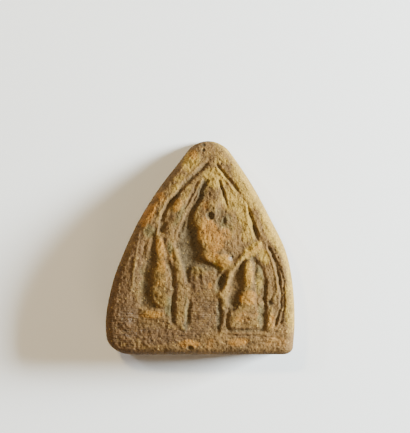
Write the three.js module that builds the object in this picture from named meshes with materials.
// Terracotta votive tablet: one lump of clay pressed into a pointed-arch mould and fired.
// It lies on its flat back. Millimetres: +X to the right, +Y towards the apex, +Z out of the front.
// The front carries three worn seated figures in niches, under arches, inside a plain border.
import * as THREE from 'three';

// Driving dimensions
const WIDTH = 120;
const HEIGHT = 136.6;
const FOOT = -HEIGHT / 2;
const APEX = HEIGHT / 2;

// Body sections from foot to apex: the outline's left and right edges, the height of the face above
// the back, and the height of the side edge, where the front's rounded shoulder begins
const SECTIONS = [
  { y: FOOT, left: -58.2, right: 58.6, face: 29.5, edge: 22 },
  { y: -47, left: -WIDTH / 2, right: WIDTH / 2, face: 30.5, edge: 22.5 },
  { y: -22, left: -55.4, right: 58.5, face: 31, edge: 22 },
  { y: -2, left: -48, right: 54.2, face: 30, edge: 19.5 },
  { y: 18, left: -38.6, right: 44.8, face: 27, edge: 15.5 },
  { y: 38, left: -26.2, right: 34.3, face: 22, edge: 9.5 },
  { y: 55, left: -13.2, right: 23.4, face: 15, edge: 5 },
  { y: APEX, left: -3.4, right: 13.6, face: 8, edge: 2.6 },
];

// Elliptical corners of the outline, seen from the front
const FOOT_CORNER_LEFT = { width: 14.5, height: 11 };
const FOOT_CORNER_RIGHT = { width: 6, height: 4.5 };
const APEX_CORNER = { width: 8.1, height: 6.6 };

// The face is a low dome: towards both sides it falls away by this share of the half width, as this
// power of the distance from the middle
const SIDE_FALL = 0.055;
const SIDE_FALL_POWER = 2.5;

// Rounded shoulder along the sides, the foot and the apex
const SIDE_SHOULDER = 4.7;
const FOOT_SHOULDER = 5;
const APEX_SHOULDER = 8;

// Side wall between the front's edge and the flat back: share of the edge height, and inset
const WALL_RINGS = [
  { share: 0.12, inset: 0.7 },
  { share: 0, inset: 1.9 },
];

// Mesh steps: rows up the tablet, points along a row, and points close to each edge
const ROW_STEP = 1.74;
const POINT_STEP = 1.74;
const EDGE_STEPS = [0, 0.5, 1.5, 3];

// Sunk and raised fields, in the order in which they are pressed. Each is bounded by its rows of
// y, left x and right x, brings the relief to its level above the border, and rises by its crown
// along its middle.
const FIELDS = [
  {
    name: 'ground inside the border',
    rows: [[53, 4, 11], [35, -13, 25.5], [20, -23.5, 32], [5, -34, 40], [-20, -42, 48.5], [-49, -44, 48]],
    level: -0.4,
  },
  {
    name: 'middle niche',
    rows: [[43, 2.2, 12], [30, -4.6, 16], [22, -8.2, 17], [12, -13.4, 16], [0, -16.2, 18], [-12, -13, 14],
      [-23, -8, 8]],
    level: -2.3,
  },
  {
    name: 'left niche',
    rows: [[8, -29.5, -22], [-6, -34, -20.5], [-14, -36.5, -17.6], [-30, -38, -17], [-47, -38.5, -17]],
    level: -1.8,
  },
  {
    name: 'right niche',
    rows: [[-5.5, 29.5, 34], [-15, 22.6, 38.5], [-27, 17.5, 41], [-40, 17.4, 40.4], [-53, 17.4, 40.4]],
    level: -1.7,
  },
  {
    name: 'throne',
    rows: [[-12, -6.6, 9.8], [-30, -7.4, 10.5], [-54, -8.2, 11.4]],
    level: -0.8,
    crown: 0.4,
  },
  {
    name: 'left crowned head',
    rows: [[9, -28.8, -23.8], [2, -28.8, -22.6], [-8, -28.6, -21.4], [-14, -29.4, -20]],
    level: -0.6,
    crown: 0.9,
  },
  {
    name: 'left body',
    rows: [[-12, -28.4, -20.4], [-15, -30.4, -18.8], [-24, -31, -17.6], [-33, -30.6, -17.6],
      [-38, -27, -19]],
    level: -0.5,
    crown: 1,
  },
  {
    name: 'left legs',
    rows: [[-38.6, -38.6, -21.4], [-42, -39, -20.6], [-46.2, -38, -20.4]],
    level: -0.4,
    crown: 0.6,
  },
  {
    name: 'right crowned head',
    rows: [[-7.4, 28.6, 33], [-12, 27, 33.8], [-20, 26.6, 34.2], [-26.4, 26.8, 34.2]],
    level: -0.4,
    crown: 1.2,
  },
  {
    name: 'right body',
    rows: [[-25.8, 26, 34.8], [-31, 24.8, 35.4], [-37, 23.6, 36], [-41, 20.4, 37.2]],
    level: -0.4,
    crown: 0.9,
  },
  {
    name: 'right legs',
    rows: [[-40.6, 18.4, 37.6], [-45, 17.8, 38.2], [-51.6, 17.8, 38.6]],
    level: -0.3,
    crown: 0.6,
  },
  {
    name: 'middle figure, worn to one mass',
    rows: [[43, 6, 11.6], [39, 3, 12.6], [30.6, 0.6, 16], [24.6, -3, 18.6], [18, -4.6, 22],
      [11.4, -2.6, 25.6], [2, -0.8, 27], [-4.6, 1.4, 23], [-8, 4.2, 20], [-11.4, 8.6, 17]],
    level: -0.5,
    crown: 0.8,
  },
  {
    name: 'band of the great arch',
    rows: [[36, -9.5, -2.5], [30, -15, -5.5], [20, -20.5, -11], [12, -22.8, -15.4], [6, -24, -17]],
    level: -0.8,
    crown: 0.7,
  },
  {
    name: 'left capital',
    rows: [[14, -21, -15.5], [6, -22.8, -16.4], [-2, -22.3, -16.2], [-9, -20.5, -16.4],
      [-12, -18.8, -16.8]],
    level: -0.8,
    crown: 0.6,
  },
  {
    name: 'left column',
    rows: [[-1, -17.6, -14.2], [-9, -17.2, -12.4], [-18, -16.9, -9.8], [-28, -16.7, -8.6],
      [-38, -16.8, -9.4], [-44, -16.6, -12], [-50, -15.6, -11]],
    level: -0.8,
    crown: 1,
  },
  {
    name: 'right column',
    rows: [[-33, 12.6, 15], [-42, 12.8, 16.8], [-52.5, 12.6, 17]],
    level: -1,
    crown: 0.7,
  },
];

// Rounded forms, each an ellipse that brings the relief to its level, domed by its crown
const LOBES = [
  {
    name: 'deep side of the middle niche',
    at: [-6.2, 2], half: [4.2, 15], turn: 4, level: -3, crown: 0,
  },
  { name: 'deep side of the left niche', at: [-34, -22], half: [3, 12], level: -2.3, crown: 0 },
  {
    name: 'hollow left of the right head',
    at: [22.8, -20], half: [3.2, 6.4], turn: -16, level: -2.3, crown: 0,
  },
  { name: 'hollow above the right legs', at: [21.4, -33.4], half: [3.4, 4.6], level: -2.6, crown: 0 },
  {
    name: 'hollow beside the seat',
    at: [13.4, -22.4], half: [2.9, 6], turn: -20, level: -2.5, crown: 0,
  },
  { name: 'middle crown', at: [9.2, 35.6], half: [3.6, 7.4], level: -0.3, crown: 0.9 },
  { name: 'middle head', at: [9, 26.6], half: [6.4, 6.8], level: 0.1, crown: 1.1 },
  { name: 'middle left shoulder', at: [3.6, 14.6], half: [6.4, 5.6], turn: -16, level: 0, crown: 0.6 },
  { name: 'middle right shoulder', at: [18.5, 20], half: [8, 9], level: -0.6, crown: 0.4 },
  { name: 'middle body', at: [6.6, 4], half: [6.6, 9], turn: 4, level: 0, crown: 0.8 },
  { name: 'middle lap', at: [7.8, -5.6], half: [6.4, 4.6], turn: -12, level: 0, crown: 0.6 },
  { name: 'middle knee', at: [14.8, -8.6], half: [5, 6], turn: 32, level: 0.2, crown: 1 },
  { name: 'left head', at: [-25.2, -3], half: [3.4, 5.6], turn: 6, level: -0.1, crown: 0.6 },
  { name: 'right cloak', at: [37, -19], half: [3, 9.6], turn: -4, level: -0.8, crown: 0.4 },
  { name: 'right arm', at: [37.6, -36], half: [2.2, 7], level: -0.9, crown: 0.3 },
  {
    name: 'upper lump of the arch band',
    at: [-14.4, 26], half: [2.9, 6], turn: -24, level: 0, crown: 0.6,
  },
  {
    name: 'lower hollow of the arch band',
    at: [-24, 12.6], half: [2, 3.8], turn: -15, level: -1.8, crown: 0,
  },
];

// Grooves and ridges. Each runs from one point to the other, bowed to the left of its way by bow,
// with its full width and its rise, and fades out towards both ends.
const STROKES = [
  {
    name: 'left groove of the great arch',
    from: [6.4, 54.8], to: [-26.6, 14.4], bow: -3.2, width: 4.4, rise: -1.8,
  },
  {
    name: 'right groove of the great arch',
    from: [10, 53.2], to: [25.4, 35], bow: -0.4, width: 3.4, rise: -1.3,
  },
  {
    name: 'ridge below the left groove',
    from: [-26.4, 24], to: [-27.4, 6.8], bow: 0.5, width: 2.6, rise: 0.6,
  },
  {
    name: 'gash in the right of the arch',
    from: [30.2, 25], to: [35.9, 4.2], bow: 0.8, width: 3.2, rise: -1.8,
  },
  { name: 'upper inner rib', from: [1.2, 42.6], to: [-7.2, 23.4], bow: 1.3, width: 2.8, rise: 1 },
  { name: 'lower inner rib', from: [-8.4, 16.6], to: [-16.2, 3.4], bow: 1.2, width: 2.8, rise: 0.8 },
  {
    name: 'groove beside the inner rib',
    from: [-1.4, 42], to: [-9.8, 24.5], bow: 0.3, width: 2.8, rise: -0.8,
  },
  { name: 'inner gash', from: [13, 40.4], to: [17.6, 25.4], bow: -0.4, width: 2.8, rise: -1.4 },
  {
    name: 'upper edge of the left column',
    from: [-14.4, -4.8], to: [-8.9, -29], bow: 1.7, width: 2.6, rise: 0.7,
  },
  {
    name: 'lower edge of the left column',
    from: [-8.9, -29], to: [-12.4, -45], bow: 1.3, width: 2.6, rise: 0.6,
  },
  {
    name: 'foot of the left column',
    from: [-12.6, -44.4], to: [-9.8, -52.2], bow: -1, width: 2.6, rise: 0.6,
  },
  {
    name: 'upper groove of the left column',
    from: [-20.2, -8], to: [-17, -30], bow: 1.3, width: 2.8, rise: -1,
  },
  {
    name: 'lower groove of the left column',
    from: [-17, -30], to: [-17.6, -48.5], bow: -0.5, width: 3, rise: -1.2,
  },
  {
    name: 'hollow beside the column foot',
    from: [-7.8, -34], to: [-9.4, -50], bow: 1, width: 3.4, rise: -1.6,
  },
  {
    name: 'left side of the right column',
    from: [11.8, -32], to: [11.4, -53.4], bow: 0.4, width: 2.8, rise: -1.5,
  },
  {
    name: 'right side of the right column',
    from: [17, -38], to: [17.4, -53.4], bow: -0.3, width: 2.6, rise: -1.2,
  },
  {
    name: 'ridge right of the seat',
    from: [9.6, -19.5], to: [17.6, -37], bow: -1.6, width: 2.8, rise: 0.8,
  },
  {
    name: 'left limb of the small arch',
    from: [13.8, -28], to: [39.4, 2.4], bow: 4.2, width: 5.6, rise: 1.3,
  },
  {
    name: 'upper right limb of the small arch',
    from: [40.6, 1.6], to: [48.6, -29], bow: 2.6, width: 3.2, rise: 0.8,
  },
  {
    name: 'lower right limb of the small arch',
    from: [48.6, -28], to: [44, -47], bow: -1.4, width: 2.8, rise: 0.6,
  },
  {
    name: 'inner line of the small arch',
    from: [35.8, -9.8], to: [41.4, -23], bow: 1.2, width: 2.6, rise: -0.9,
  },
  { name: 'right line of the right niche', from: [40.9, -22], to: [41, -52.6], width: 2.6, rise: -1.2 },
  { name: 'upper outer line', from: [42.4, 1.4], to: [50.4, -25], bow: 1.4, width: 3.4, rise: -1.8 },
  { name: 'lower outer line', from: [50.6, -24], to: [45.8, -51.6], bow: 2.4, width: 3, rise: -1.6 },
  { name: 'outermost line', from: [53, -22], to: [50, -51], bow: 1.6, width: 2.4, rise: -0.9 },
  {
    name: 'outer ridge of the left niche',
    from: [-38.8, 8], to: [-44.2, -29], bow: 0.6, width: 2.8, rise: 0.5,
  },
  {
    name: 'shoulder of the left niche',
    from: [-36.4, 9.6], to: [-34.6, 1.6], bow: 1.3, width: 2.6, rise: 0.9,
  },
  {
    name: 'shade of the left niche',
    from: [-34.2, 7], to: [-36.4, -6], bow: 0.6, width: 2.8, rise: -0.8,
  },
  {
    name: 'inner ridge of the left niche',
    from: [-31.8, 0.6], to: [-37.4, -29], bow: -1.2, width: 2.8, rise: 0.6,
  },
  {
    name: 'left leg of the seat motif',
    from: [-2.4, -14.6], to: [-3.4, -25], bow: 0.4, width: 2.6, rise: 0.8,
  },
  {
    name: 'right leg of the seat motif',
    from: [1.6, -14.8], to: [2.6, -25.6], bow: -0.4, width: 2.6, rise: 0.7,
  },
  { name: 'knee gash', from: [15.6, -2], to: [20.2, -5.4], bow: 0.3, width: 2.6, rise: -1.1 },
  { name: 'sleeve fold', from: [24.2, 10.5], to: [26.4, -1], bow: -0.9, width: 2.6, rise: -0.6 },
  { name: 'right neck line', from: [26.8, -25.8], to: [34, -25.8], bow: 0.2, width: 2.4, rise: -0.8 },
  { name: 'right waist line', from: [18.8, -42.4], to: [37, -42.4], bow: 0.2, width: 2.4, rise: -0.6 },
  { name: 'right base line', from: [14.6, -55.4], to: [51, -57.4], bow: 0.4, width: 2.6, rise: -1.1 },
  { name: 'lower right base line', from: [28, -60.6], to: [46.6, -60.4], width: 2.4, rise: -0.8 },
  { name: 'left base line', from: [-43, -48.6], to: [-20, -50.2], bow: 0.2, width: 2.6, rise: -0.5 },
  { name: 'lower left base line', from: [-42, -55.2], to: [-17, -55.6], width: 2.6, rise: -0.5 },
];

// The hole that a pebble left below the middle head
const PEBBLE_HOLE = { at: [6.2, 19.7], radius: 2.7, depth: 1.5 };

// Softness of a field's or lobe's walls, the number of steps along a stroke's curve, and the share
// of its length over which each end of a stroke fades
const WALL_SOFTNESS = 2.3;
const STROKE_STEPS = 12;
const STROKE_FADE = 0.12;

// Reach over which the relief is averaged
const SOFTENING = 0.85;

const clamp01 = (value) => THREE.MathUtils.clamp(value, 0, 1);
const ease = (value) => THREE.MathUtils.smoothstep(value, 0, 1);

// Smooth curve through stations of rising key: cubic pieces whose slopes come from the neighbours
function through(keys, values, key) {
  const last = keys.length - 1;
  let i = 0;
  while (i < last - 1 && key > keys[i + 1]) {
    i += 1;
  }
  const slope = (k) => {
    const a = Math.max(k - 1, 0);
    const b = Math.min(k + 1, last);
    return (values[b] - values[a]) / (keys[b] - keys[a]);
  };
  const span = keys[i + 1] - keys[i];
  const t = clamp01((key - keys[i]) / span);
  const t2 = t * t;
  const t3 = t2 * t;
  return (2 * t3 - 3 * t2 + 1) * values[i] + (t3 - 2 * t2 + t) * span * slope(i)
    + (3 * t2 - 2 * t3) * values[i + 1] + (t3 - t2) * span * slope(i + 1);
}

const SECTION_HEIGHTS = SECTIONS.map((section) => section.y);
const bodyAt = (name, y) => through(SECTION_HEIGHTS, SECTIONS.map((section) => section[name]), y);

// How far an elliptical corner draws the edge in, at a distance from the end
function cornerInset(corner, distance) {
  const t = clamp01(1 - distance / corner.height);
  return corner.width * (1 - Math.sqrt(1 - t * t));
}

function leftEdge(y) {
  return bodyAt('left', y) + cornerInset(FOOT_CORNER_LEFT, y - FOOT)
    + cornerInset(APEX_CORNER, APEX - y);
}

function rightEdge(y) {
  return bodyAt('right', y) - cornerInset(FOOT_CORNER_RIGHT, y - FOOT)
    - cornerInset(APEX_CORNER, APEX - y);
}

// Quarter-round rise from an edge: 0 on the edge, 1 at the shoulder's full width and beyond
function shoulder(distance, width) {
  const t = clamp01(1 - distance / width);
  return Math.sqrt(1 - t * t);
}

// Share of the full face height at a point, from its distances to the sides, the foot and the apex
function faceShare(x, y) {
  const slant = 0.85;
  return shoulder((x - leftEdge(y)) * slant, SIDE_SHOULDER)
    * shoulder((rightEdge(y) - x) * slant, SIDE_SHOULDER)
    * shoulder(y - FOOT, FOOT_SHOULDER)
    * shoulder(APEX - y, APEX_SHOULDER);
}

// Fields with their rows as columns, from foot to apex
const FIELD_EDGES = FIELDS.map((field) => {
  const rows = [...field.rows].reverse();
  const [keys, left, right] = [0, 1, 2].map((column) => rows.map((row) => row[column]));
  return { ...field, keys, left, right };
});

// A point's place in a field: its mask, 1 inside and 0 outside with soft walls, and its share of
// the crown, 1 along the field's middle
function fieldPlace(field, x, y) {
  const { keys } = field;
  const left = through(keys, field.left, y);
  const right = through(keys, field.right, y);
  const inside = Math.min(x - left, right - x, y - keys[0], keys[keys.length - 1] - y);
  const across = (2 * x - left - right) / Math.max(right - left, 0.1);
  return { mask: ease(0.5 + inside / WALL_SOFTNESS), crown: Math.max(1 - across * across, 0) };
}

// Distance from the centre of a lobe, 1 on its ellipse
function lobeRadius(lobe, x, y) {
  const turn = THREE.MathUtils.degToRad(lobe.turn ?? 0);
  const dx = x - lobe.at[0];
  const dy = y - lobe.at[1];
  const along = dx * Math.cos(turn) + dy * Math.sin(turn);
  const across = dy * Math.cos(turn) - dx * Math.sin(turn);
  return Math.hypot(along / lobe.half[0], across / lobe.half[1]);
}

// The stroke's centre line: a straight run, bowed sideways
function strokeLine(stroke) {
  const from = new THREE.Vector2(...stroke.from);
  const run = new THREE.Vector2(...stroke.to).sub(from);
  const side = new THREE.Vector2(-run.y, run.x).normalize();
  return Array.from({ length: STROKE_STEPS + 1 }, (_, i) => {
    const t = i / STROKE_STEPS;
    const bow = (stroke.bow ?? 0) * 4 * t * (1 - t);
    return from.clone().addScaledVector(run, t).addScaledVector(side, bow);
  });
}

// Share of a stroke's rise at a point: soft across its width, fading towards its ends
function strokeShare(stroke, x, y) {
  let nearest = Infinity;
  let along = 0;
  for (let i = 1; i < stroke.line.length; i += 1) {
    const a = stroke.line[i - 1];
    const b = stroke.line[i];
    const run = (b.x - a.x) ** 2 + (b.y - a.y) ** 2;
    const t = clamp01(((x - a.x) * (b.x - a.x) + (y - a.y) * (b.y - a.y)) / run);
    const distance = Math.hypot(x - a.x - t * (b.x - a.x), y - a.y - t * (b.y - a.y));
    if (distance < nearest) {
      nearest = distance;
      along = (i - 1 + t) / STROKE_STEPS;
    }
  }
  const fade = ease(Math.min(along, 1 - along) / STROKE_FADE + 0.25);
  return fade * ease(1 - nearest / (stroke.width / 2));
}

const STROKE_LINES = STROKES.map((stroke) => ({ ...stroke, line: strokeLine(stroke) }));

// Height of the relief above the border: fields, then lobes, then grooves and ridges, then the hole
function relief(x, y) {
  let height = 0;
  for (const field of FIELD_EDGES) {
    const place = fieldPlace(field, x, y);
    const level = field.level + (field.crown ?? 0) * place.crown;
    height += (level - height) * place.mask;
  }
  for (const lobe of LOBES) {
    const radius = lobeRadius(lobe, x, y);
    const inside = (1 - radius) * Math.min(...lobe.half);
    const level = lobe.level + lobe.crown * Math.max(1 - radius * radius, 0);
    height += (level - height) * ease(0.5 + inside / WALL_SOFTNESS);
  }
  for (const stroke of STROKE_LINES) {
    height += stroke.rise * strokeShare(stroke, x, y);
  }
  const reach = Math.hypot(x - PEBBLE_HOLE.at[0], y - PEBBLE_HOLE.at[1]) / PEBBLE_HOLE.radius;
  return height - PEBBLE_HOLE.depth * Math.max(1 - reach * reach, 0);
}

// Relief without corners sharper than the mesh can hold: the mean over a point and four round it
function softRelief(x, y) {
  const places = [[0, 0], [SOFTENING, 0], [-SOFTENING, 0], [0, SOFTENING], [0, -SOFTENING]];
  return places.reduce((sum, [dx, dy]) => sum + relief(x + dx, y + dy), 0) / places.length;
}

// How far the dome has fallen at a point
function sideFall(x, y) {
  const half = (rightEdge(y) - leftEdge(y)) / 2;
  const across = Math.abs(x - leftEdge(y) - half) / half;
  return SIDE_FALL * half * across ** SIDE_FALL_POWER;
}

// Height of the front surface above the back
function frontHeight(x, y) {
  const share = faceShare(x, y);
  const edge = bodyAt('edge', y);
  const face = bodyAt('face', y) - sideFall(x, y);
  return edge + (face - edge + softRelief(x, y) * share) * share;
}

// Stops between two ends: a few close to each end, and between them whole multiples of the step,
// so that the stops of neighbouring rows stand above each other
function stops(from, to, step) {
  const widest = EDGE_STEPS[EDGE_STEPS.length - 1];
  const shrink = Math.min(1, (to - from) / (4 * widest));
  const margin = widest * shrink + step / 2;
  const first = Math.ceil((from + margin) / step);
  const last = Math.floor((to - margin) / step);
  const middle = Array.from({ length: Math.max(0, last - first + 1) }, (_, i) => (first + i) * step);
  const near = EDGE_STEPS.map((offset) => from + offset * shrink);
  const far = EDGE_STEPS.map((offset) => to - offset * shrink).reverse();
  return [...near, ...middle, ...far];
}

// Front: rows from foot to apex, each with as many points as its width needs
function frontRows(positions) {
  return stops(FOOT, APEX, ROW_STEP).map((y) => {
    return stops(leftEdge(y), rightEdge(y), POINT_STEP).map((x) => {
      positions.push(x, y, frontHeight(x, y));
      return positions.length / 3 - 1;
    });
  });
}

// Squared distance between two points of the mesh
function gap(positions, a, b) {
  const point = new THREE.Vector3().fromArray(positions, a * 3);
  return point.distanceToSquared(new THREE.Vector3().fromArray(positions, b * 3));
}

// Triangles between two neighbouring rows, facing out of the front: each step goes along the row
// that gives the shorter diagonal
function stitchRows(lower, upper, positions, triangles) {
  let i = 0;
  let j = 0;
  while (i < lower.length - 1 || j < upper.length - 1) {
    const lowerLeft = i < lower.length - 1;
    const upperLeft = j < upper.length - 1;
    const forward = lowerLeft ? gap(positions, lower[i + 1], upper[j]) : Infinity;
    const back = upperLeft ? gap(positions, lower[i], upper[j + 1]) : Infinity;
    if (forward <= back) {
      triangles.push(lower[i], lower[i + 1], upper[j]);
      i += 1;
    } else {
      triangles.push(lower[i], upper[j + 1], upper[j]);
      j += 1;
    }
  }
}

// The front's edge as one loop, anticlockwise from the foot's left end
function edgeLoop(rows) {
  const last = rows.length - 1;
  const between = rows.slice(1, last);
  return [
    ...rows[0],
    ...between.map((row) => row[row.length - 1]),
    ...[...rows[last]].reverse(),
    ...between.map((row) => row[0]).reverse(),
  ];
}

// One ring of the side wall: the edge loop moved inwards and down
function wallRing(loop, ring, positions) {
  const points = loop.map((index) => new THREE.Vector3().fromArray(positions, index * 3));
  return points.map((point, i) => {
    const before = points[(i + points.length - 1) % points.length];
    const after = points[(i + 1) % points.length];
    const inward = new THREE.Vector2(before.y - after.y, after.x - before.x).normalize();
    const x = point.x + inward.x * ring.inset;
    const y = point.y + inward.y * ring.inset;
    positions.push(x, y, point.z * ring.share);
    return positions.length / 3 - 1;
  });
}

// Triangles between two rings of the side wall, facing outwards
function stitchRings(outer, inner, triangles) {
  outer.forEach((a, i) => {
    const next = (i + 1) % outer.length;
    triangles.push(a, inner[i], inner[next], a, inner[next], outer[next]);
  });
}

// Flat back, facing down: the last ring, taken up in rows from foot to apex
function closeBack(ring, rows, positions, triangles) {
  const sideCount = rows.length - 2;
  const footCount = rows[0].length;
  const apexCount = rows[rows.length - 1].length;
  const right = ring.slice(footCount, footCount + sideCount);
  const left = ring.slice(footCount + sideCount + apexCount).reverse();
  const backRows = [
    ring.slice(0, footCount),
    ...left.map((index, i) => [index, right[i]]),
    ring.slice(footCount + sideCount, footCount + sideCount + apexCount).reverse(),
  ];
  const upwards = [];
  for (let i = 1; i < backRows.length; i += 1) {
    stitchRows(backRows[i - 1], backRows[i], positions, upwards);
  }
  triangles.push(...upwards.reverse());
}

// The whole closed body: front, side wall and back
function tabletGeometry() {
  const positions = [];
  const triangles = [];
  const rows = frontRows(positions);
  for (let i = 1; i < rows.length; i += 1) {
    stitchRows(rows[i - 1], rows[i], positions, triangles);
  }
  let ring = edgeLoop(rows);
  for (const wall of WALL_RINGS) {
    const next = wallRing(ring, wall, positions);
    stitchRings(ring, next, triangles);
    ring = next;
  }
  closeBack(ring, rows, positions, triangles);
  const geometry = new THREE.BufferGeometry();
  geometry.setAttribute('position', new THREE.Float32BufferAttribute(positions, 3));
  geometry.setIndex(triangles);
  geometry.computeVertexNormals();
  return geometry;
}

const firedClay = new THREE.MeshStandardMaterial({ color: 0x9f7a47, roughness: 0.9, metalness: 0 });
const tablet = new THREE.Mesh(tabletGeometry(), firedClay);
tablet.name = 'tablet';

const model = new THREE.Group();
model.add(tablet);

export default model;
